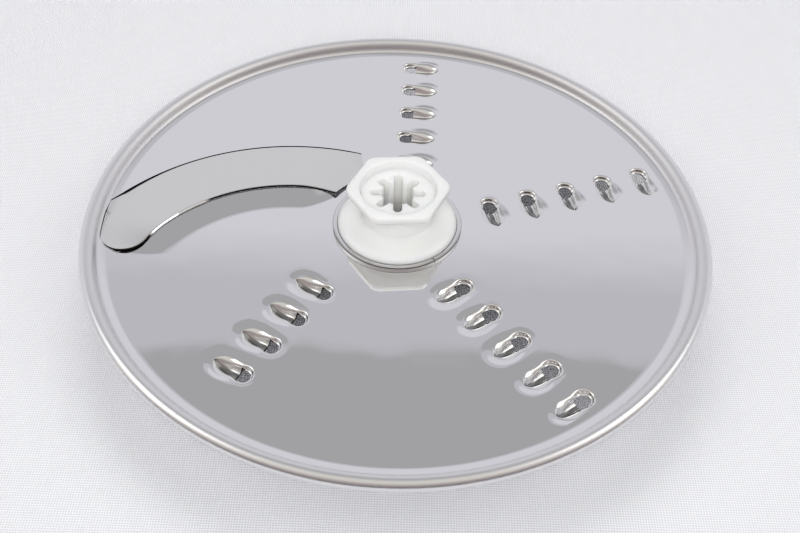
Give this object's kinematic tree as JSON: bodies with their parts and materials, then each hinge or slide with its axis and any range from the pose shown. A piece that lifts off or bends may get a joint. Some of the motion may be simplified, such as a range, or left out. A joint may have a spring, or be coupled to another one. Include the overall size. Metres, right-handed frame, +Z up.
{
  "type": "food processor disc",
  "caption": "Round reversible food processor disc of polished steel with a raised slicing blade, rows of grating scoops, a rolled rim and a white hub with a notched drive socket.",
  "frame": {"origin": "centre of the hub's lower grip face, on the surface that the disc rests on", "axes": "+Z up along the drive axis, out of the face with the slicing blade; +X to the right and +Y away from the camera in the picture"},
  "size_m": [0.176, 0.176, 0.0298],
  "materials": {
    "polished_stainless": "mirror-polished stainless sheet",
    "white_plastic": "glossy moulded white plastic",
    "spring_steel": "bright spring steel wire"
  },
  "bodies": {
    "root": {"disc": "polished_stainless", "hub": "white_plastic", "retaining_ring": "spring_steel"}
  },
  "joints": []
}
